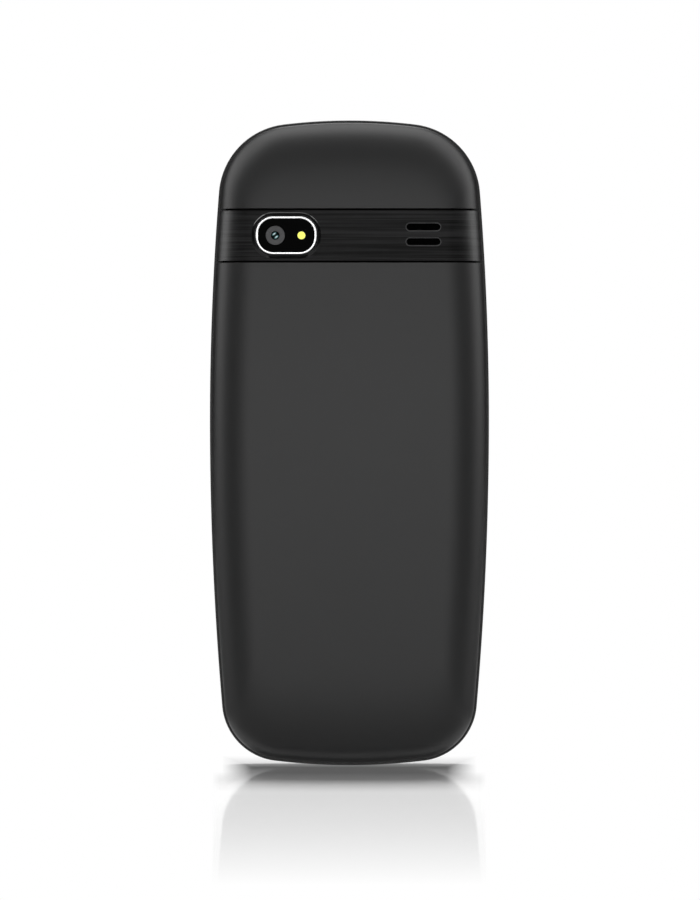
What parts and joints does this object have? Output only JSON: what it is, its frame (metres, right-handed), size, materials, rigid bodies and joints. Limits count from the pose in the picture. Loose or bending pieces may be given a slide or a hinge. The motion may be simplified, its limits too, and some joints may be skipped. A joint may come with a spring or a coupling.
{
  "type": "feature phone",
  "caption": "Bar feature phone with rounded satin back, brushed band with camera and speaker slots, lift-off battery cover, and pressable number keys with a tilting navigation ring.",
  "frame": {"origin": "middle of the bottom of the phone's box, the phone standing upright on its lower edge", "axes": "+Z along the phone's length towards the earpiece end, +Y out of the display and keys, -Y out of the back with its camera, +X to the right as the back is seen"},
  "size_m": [0.0502, 0.014, 0.116],
  "materials": {
    "satin_black": "satin moulded, fine grain",
    "rim_black": "dark satin moulded",
    "brushed_dark": "fine level brushing",
    "chassis_grey": "moulded",
    "bright_chrome": "polished",
    "window_black": "high gloss",
    "lens_barrel": "satin grey",
    "coated_glass": "coated lens",
    "flash_yellow": "phosphor under clear resin",
    "speaker_black": "moulded",
    "mesh_black": "woven mesh",
    "carrier_black": "moulded",
    "copper": "plated strip",
    "battery_skin": "matt wrapped can",
    "gold_contact": "gold plated",
    "board_green": "solder mask",
    "stamped_steel": "stamped sheet",
    "weight_metal": "sintered",
    "screen_glass": "polished, dark behind",
    "display_dark": "display panel",
    "silicone": "moulded silicone",
    "key_black": "satin keys",
    "nav_dark": "satin ring",
    "centre_grey": "semi-gloss key"
  },
  "bodies": {
    "phone": {"front_cover": "rim_black", "rear_housing": "chassis_grey", "top_cap": "satin_black", "brushed_band": "brushed_dark", "housing_screws": "stamped_steel", "camera_ring": "bright_chrome", "camera_window": "window_black", "camera_module": "lens_barrel", "camera_lens": "coated_glass", "flash_led": "flash_yellow", "loudspeaker": "speaker_black", "speaker_mesh": "mesh_black", "antenna_carrier": "carrier_black", "antenna": "copper", "battery_contacts": "carrier_black", "battery_springs": "gold_contact", "main_board": "board_green", "shield_can": "stamped_steel", "sim_sockets": "stamped_steel", "memory_card_socket": "stamped_steel", "usb_port": "stamped_steel", "audio_jack": "carrier_black", "vibration_motor": "stamped_steel", "microphone": "stamped_steel", "display_window": "screen_glass", "display_module": "display_dark", "earpiece": "speaker_black", "earpiece_mesh": "mesh_black", "keypad_sheet": "silicone", "key_domes": "stamped_steel"},
    "battery_cover": {"battery_cover": "satin_black"},
    "battery": {"battery": "battery_skin", "battery_terminals": "gold_contact"},
    "motor_weight": {"motor_weight": "weight_metal"},
    "nav_pad": {"nav_pad": "silicone"},
    "nav_ring": {"nav_ring": "nav_dark"},
    "centre_key": {"centre_key": "centre_grey"},
    "left_soft_key": {"left_soft_key": "key_black"},
    "right_soft_key": {"right_soft_key": "key_black"},
    "call_key": {"call_key": "key_black"},
    "end_key": {"end_key": "key_black"},
    "key_1": {"key_1": "key_black"},
    "key_2": {"key_2": "key_black"},
    "key_3": {"key_3": "key_black"},
    "key_4": {"key_4": "key_black"},
    "key_5": {"key_5": "key_black"},
    "key_6": {"key_6": "key_black"},
    "key_7": {"key_7": "key_black"},
    "key_8": {"key_8": "key_black"},
    "key_9": {"key_9": "key_black"},
    "key_star": {"key_star": "key_black"},
    "key_0": {"key_0": "key_black"},
    "key_hash": {"key_hash": "key_black"}
  },
  "joints": [
    {"name": "cover_lift", "type": "slide", "parent": "phone", "child": "battery_cover", "axis": [0, -1, 0], "range_m": [0, 0.03]},
    {"name": "battery_lift", "type": "slide", "parent": "phone", "child": "battery", "axis": [0, -1, 0], "range_m": [0, 0.015]},
    {"name": "weight_spin", "type": "hinge", "parent": "phone", "child": "motor_weight", "pos_m": [-0.0054, -0.00025, 0.0132], "axis": [1, 0, 0], "continuous": true},
    {"name": "nav_up_down", "type": "hinge", "parent": "phone", "child": "nav_pad", "pos_m": [0, 0.0035, 0.0461], "axis": [1, 0, 0], "range_deg": [-2, 2], "stiffness_Nm_per_rad": 0.2},
    {"name": "nav_left_right", "type": "hinge", "parent": "nav_pad", "child": "nav_ring", "pos_m": [0, 0.0038, 0.0461], "axis": [0, 0, 1], "range_deg": [-2, 2], "stiffness_Nm_per_rad": 0.2},
    {"name": "centre_key_press", "type": "slide", "parent": "phone", "child": "centre_key", "axis": [0, -1, 0], "range_m": [0, 0.00035], "stiffness_N_per_m": 1500, "springref_m": -0.0002},
    {"name": "left_soft_key_press", "type": "slide", "parent": "phone", "child": "left_soft_key", "axis": [0, -1, 0], "range_m": [0, 0.00035], "stiffness_N_per_m": 1500, "springref_m": -0.0002},
    {"name": "right_soft_key_press", "type": "slide", "parent": "phone", "child": "right_soft_key", "axis": [0, -1, 0], "range_m": [0, 0.00035], "stiffness_N_per_m": 1500, "springref_m": -0.0002},
    {"name": "call_key_press", "type": "slide", "parent": "phone", "child": "call_key", "axis": [0, -1, 0], "range_m": [0, 0.00035], "stiffness_N_per_m": 1500, "springref_m": -0.0002},
    {"name": "end_key_press", "type": "slide", "parent": "phone", "child": "end_key", "axis": [0, -1, 0], "range_m": [0, 0.00035], "stiffness_N_per_m": 1500, "springref_m": -0.0002},
    {"name": "key_1_press", "type": "slide", "parent": "phone", "child": "key_1", "axis": [0, -1, 0], "range_m": [0, 0.00035], "stiffness_N_per_m": 1500, "springref_m": -0.0002},
    {"name": "key_2_press", "type": "slide", "parent": "phone", "child": "key_2", "axis": [0, -1, 0], "range_m": [0, 0.00035], "stiffness_N_per_m": 1500, "springref_m": -0.0002},
    {"name": "key_3_press", "type": "slide", "parent": "phone", "child": "key_3", "axis": [0, -1, 0], "range_m": [0, 0.00035], "stiffness_N_per_m": 1500, "springref_m": -0.0002},
    {"name": "key_4_press", "type": "slide", "parent": "phone", "child": "key_4", "axis": [0, -1, 0], "range_m": [0, 0.00035], "stiffness_N_per_m": 1500, "springref_m": -0.0002},
    {"name": "key_5_press", "type": "slide", "parent": "phone", "child": "key_5", "axis": [0, -1, 0], "range_m": [0, 0.00035], "stiffness_N_per_m": 1500, "springref_m": -0.0002},
    {"name": "key_6_press", "type": "slide", "parent": "phone", "child": "key_6", "axis": [0, -1, 0], "range_m": [0, 0.00035], "stiffness_N_per_m": 1500, "springref_m": -0.0002},
    {"name": "key_7_press", "type": "slide", "parent": "phone", "child": "key_7", "axis": [0, -1, 0], "range_m": [0, 0.00035], "stiffness_N_per_m": 1500, "springref_m": -0.0002},
    {"name": "key_8_press", "type": "slide", "parent": "phone", "child": "key_8", "axis": [0, -1, 0], "range_m": [0, 0.00035], "stiffness_N_per_m": 1500, "springref_m": -0.0002},
    {"name": "key_9_press", "type": "slide", "parent": "phone", "child": "key_9", "axis": [0, -1, 0], "range_m": [0, 0.00035], "stiffness_N_per_m": 1500, "springref_m": -0.0002},
    {"name": "key_star_press", "type": "slide", "parent": "phone", "child": "key_star", "axis": [0, -1, 0], "range_m": [0, 0.00035], "stiffness_N_per_m": 1500, "springref_m": -0.0002},
    {"name": "key_0_press", "type": "slide", "parent": "phone", "child": "key_0", "axis": [0, -1, 0], "range_m": [0, 0.00035], "stiffness_N_per_m": 1500, "springref_m": -0.0002},
    {"name": "key_hash_press", "type": "slide", "parent": "phone", "child": "key_hash", "axis": [0, -1, 0], "range_m": [0, 0.00035], "stiffness_N_per_m": 1500, "springref_m": -0.0002}
  ],
  "couplings": [
    {"joint": "battery_lift", "follows": "cover_lift", "ratio": 0.5}
  ]
}
